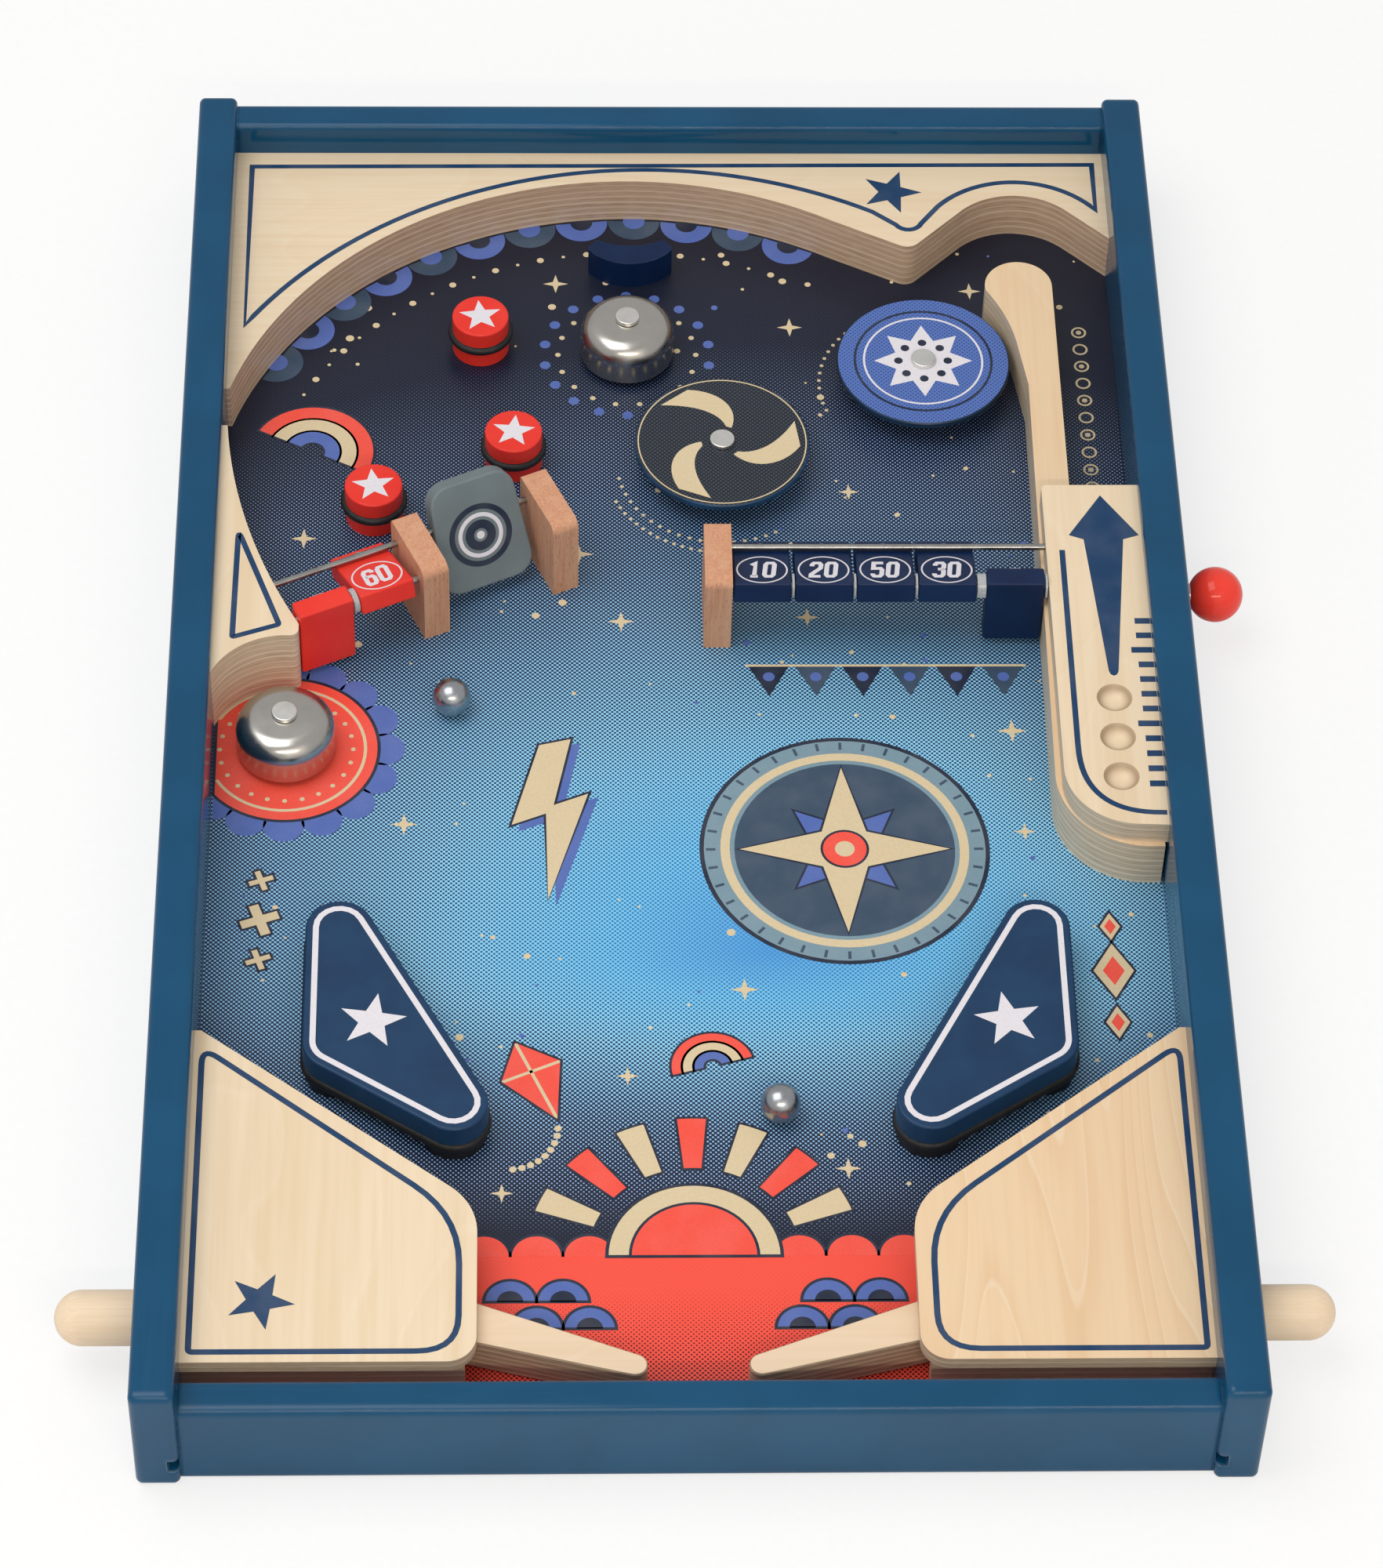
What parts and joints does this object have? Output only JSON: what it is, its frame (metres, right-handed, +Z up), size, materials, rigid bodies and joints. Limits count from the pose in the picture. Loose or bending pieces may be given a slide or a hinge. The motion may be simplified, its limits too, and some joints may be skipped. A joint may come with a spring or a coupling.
{
  "type": "tabletop pinball game",
  "caption": "Wooden tabletop pinball game: shallow blue case with push-dowel flippers, pull-back launcher, spinner discs, bells, bumpers, slingshots and flip-up score tiles.",
  "frame": {"origin": "centre of the footprint, at the bottom edge of the rails", "axes": "+X across the game to the launcher's side, +Y from the player to the back, +Z up"},
  "size_m": [0.432, 0.616, 0.0597],
  "materials": {
    "blue_painted_wood": "satin paint",
    "plywood": "clear lacquer, painted lines",
    "printed_plywood": "printed, satin lacquer",
    "birch_dowel": "clear lacquer",
    "beech": "clear lacquer",
    "red_painted_wood": "gloss paint",
    "navy_painted_wood": "satin paint",
    "grey_painted_wood": "satin paint",
    "bright_steel": "polished nickel plate",
    "steel": "zinc plate",
    "black_rubber": "matt",
    "clear_plastic": "clear"
  },
  "bodies": {
    "case": {"side_rail_left": "blue_painted_wood", "side_rail_right": "blue_painted_wood", "front_rail": "blue_painted_wood", "back_rail": "blue_painted_wood", "arch_plate": "plywood", "left_guide": "plywood", "lane_guide": "plywood", "launch_cover": "plywood", "corner_cover_left": "plywood", "corner_cover_right": "plywood", "corner_base_left": "plywood", "corner_base_right": "plywood", "playfield_board": "printed_plywood", "bell_posts": "birch_dowel", "score_post": "beech", "swing_post_left": "beech", "swing_post_right": "beech", "bumper_posts": "red_painted_wood", "rebound_block": "navy_painted_wood", "sling_plate_left": "navy_painted_wood", "sling_plate_right": "navy_painted_wood", "bell_upper": "bright_steel", "bell_lower": "bright_steel", "bell_rivets": "bright_steel", "spinner_pins": "bright_steel", "flipper_pins": "steel", "return_spring_left": "steel", "return_spring_right": "steel", "plunger_spring": "steel", "score_axle": "steel", "score_stop_rod": "steel", "side_axle": "steel", "side_stop_rod": "steel", "board_screws": "steel", "bumper_rings": "black_rubber", "sling_bands": "black_rubber", "sling_posts": "black_rubber", "tile_spacers": "clear_plastic", "spinner_washers": "clear_plastic"},
    "plunger": {"plunger_block": "birch_dowel", "plunger_stem": "steel", "plunger_knob": "red_painted_wood"},
    "dowel_left": {"push_dowel_left": "birch_dowel", "stop_pin_left": "steel"},
    "dowel_right": {"push_dowel_right": "birch_dowel", "stop_pin_right": "steel"},
    "flipper_left": {"flipper_left": "birch_dowel"},
    "flipper_right": {"flipper_right": "birch_dowel"},
    "spinner_left": {"spinner_left": "printed_plywood"},
    "spinner_right": {"spinner_right": "printed_plywood"},
    "score_tile_1": {"score_tile_1": "navy_painted_wood"},
    "score_tile_2": {"score_tile_2": "navy_painted_wood"},
    "score_tile_3": {"score_tile_3": "navy_painted_wood"},
    "score_tile_4": {"score_tile_4": "navy_painted_wood"},
    "score_tile_5": {"score_tile_5": "navy_painted_wood"},
    "side_tile_1": {"side_tile_1": "red_painted_wood"},
    "side_tile_2": {"side_tile_2": "red_painted_wood"},
    "swing_plate": {"swing_plate": "grey_painted_wood"},
    "ball_upper": {"ball_upper": "bright_steel"},
    "ball_lower": {"ball_lower": "bright_steel"}
  },
  "joints": [
    {"name": "plunger_slide", "type": "slide", "parent": "case", "child": "plunger", "axis": [0, -1, 0], "range_m": [0, 0.096], "stiffness_N_per_m": 80, "springref_m": -0.02, "deforming": ["plunger_spring"]},
    {"name": "flipper_left_hinge", "type": "hinge", "parent": "case", "child": "flipper_left", "pos_m": [-0.11, -0.238, 0.0225], "axis": [0, 0, 1], "range_deg": [0, 34.38], "stiffness_Nm_per_rad": 0.07, "springref_deg": -14.32, "deforming": ["return_spring_left"]},
    {"name": "dowel_left_slide", "type": "slide", "parent": "case", "child": "dowel_left", "axis": [1, 0, 0], "range_m": [0, 0.009]},
    {"name": "flipper_right_hinge", "type": "hinge", "parent": "case", "child": "flipper_right", "pos_m": [0.11, -0.238, 0.0225], "axis": [0, 0, -1], "range_deg": [0, 34.38], "stiffness_Nm_per_rad": 0.07, "springref_deg": -14.32, "deforming": ["return_spring_right"]},
    {"name": "dowel_right_slide", "type": "slide", "parent": "case", "child": "dowel_right", "axis": [-1, 0, 0], "range_m": [0, 0.009]},
    {"name": "spinner_left_turn", "type": "hinge", "parent": "case", "child": "spinner_left", "pos_m": [0.0175, 0.142, 0.022], "axis": [0, 0, 1], "continuous": true},
    {"name": "spinner_right_turn", "type": "hinge", "parent": "case", "child": "spinner_right", "pos_m": [0.0966, 0.1848, 0.022], "axis": [0, 0, 1], "continuous": true},
    {"name": "score_tile_1_hinge", "type": "hinge", "parent": "case", "child": "score_tile_1", "pos_m": [0.02995, 0.0545, 0.043], "axis": [1, 0, 0], "range_deg": [-88.6, 0]},
    {"name": "score_tile_2_hinge", "type": "hinge", "parent": "case", "child": "score_tile_2", "pos_m": [0.05285, 0.0545, 0.043], "axis": [1, 0, 0], "range_deg": [-88.6, 0]},
    {"name": "score_tile_3_hinge", "type": "hinge", "parent": "case", "child": "score_tile_3", "pos_m": [0.07575, 0.0545, 0.043], "axis": [1, 0, 0], "range_deg": [-88.6, 0]},
    {"name": "score_tile_4_hinge", "type": "hinge", "parent": "case", "child": "score_tile_4", "pos_m": [0.09865, 0.0545, 0.043], "axis": [1, 0, 0], "range_deg": [-88.6, 0]},
    {"name": "score_tile_5_hinge", "type": "hinge", "parent": "case", "child": "score_tile_5", "pos_m": [0.12395, 0.0545, 0.043], "axis": [1, 0, 0], "range_deg": [-16, 72.6]},
    {"name": "side_tile_1_hinge", "type": "hinge", "parent": "case", "child": "side_tile_1", "pos_m": [-0.13226, 0.04236, 0.043], "axis": [0.9085, 0.4179, 0], "range_deg": [-16, 72.6]},
    {"name": "side_tile_2_hinge", "type": "hinge", "parent": "case", "child": "side_tile_2", "pos_m": [-0.11036, 0.05243, 0.043], "axis": [0.9085, 0.4179, 0], "range_deg": [-88.6, 0]},
    {"name": "swing_plate_hinge", "type": "hinge", "parent": "case", "child": "swing_plate", "pos_m": [-0.077, 0.08901, 0.043], "axis": [0.9085, 0.4179, 0], "range_deg": [-30, 80]},
    {"name": "ball_upper_roll", "type": "slide", "parent": "case", "child": "ball_upper", "axis": [0, 1, 0], "range_m": [-0.09, 0.02]},
    {"name": "ball_lower_roll", "type": "slide", "parent": "case", "child": "ball_lower", "axis": [0, 1, 0], "range_m": [-0.03, 0.15]}
  ],
  "couplings": [
    {"joint": "dowel_left_slide", "follows": "flipper_left_hinge", "m_per_rad": 0.015},
    {"joint": "dowel_right_slide", "follows": "flipper_right_hinge", "m_per_rad": 0.015}
  ]
}
